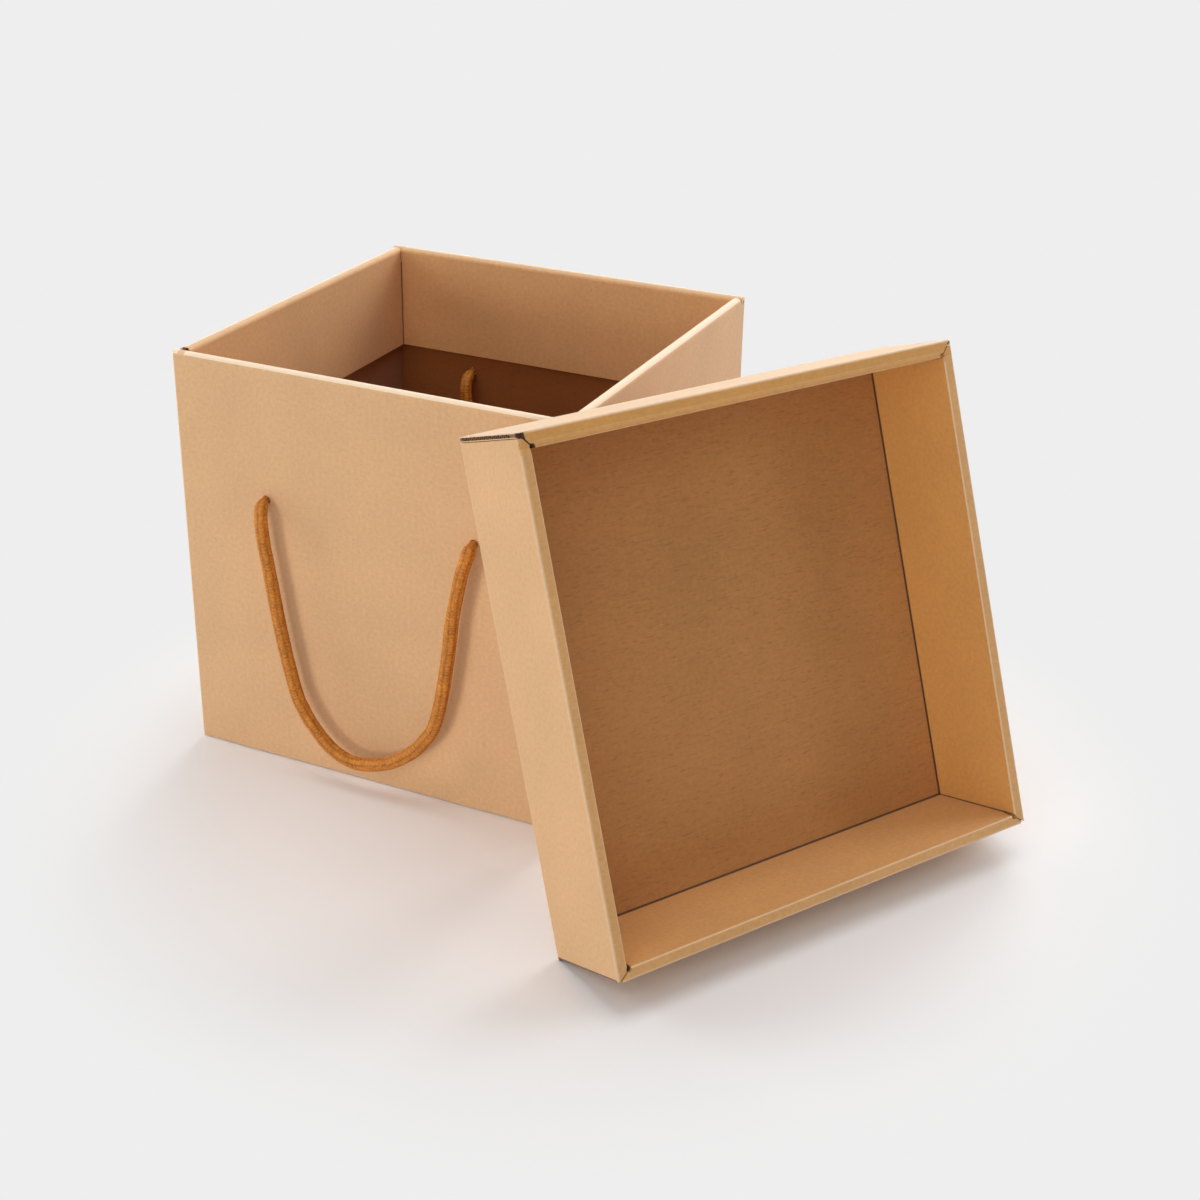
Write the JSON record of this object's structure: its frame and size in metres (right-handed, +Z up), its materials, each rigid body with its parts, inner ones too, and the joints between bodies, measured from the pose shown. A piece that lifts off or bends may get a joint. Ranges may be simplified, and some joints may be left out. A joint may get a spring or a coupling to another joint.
{
  "type": "open cardboard box",
  "caption": "Square kraft corrugated carry box standing open, with turned-in rims and hanging rope handles, and its lift-off lid leaning against one corner.",
  "frame": {"origin": "centre of the box's flat underside, on the surface it stands on", "axes": "+Z up out of the open box; -Y out through the front wall, where the nearer rope handle hangs; +X toward the side where the lid leans"},
  "size_m": [0.3891, 0.3207, 0.2205],
  "materials": {
    "kraft_box": "matte kraft liner over fine flutes",
    "kraft_lid": "matte kraft liner over fine flutes",
    "rope": "knitted golden brown rope"
  },
  "bodies": {
    "root": {"box_body": "kraft_box", "lid": "kraft_lid", "front_rope_handle": "rope", "back_rope_handle": "rope", "front_left_knot": "rope", "front_right_knot": "rope", "back_left_knot": "rope", "back_right_knot": "rope"}
  },
  "joints": []
}
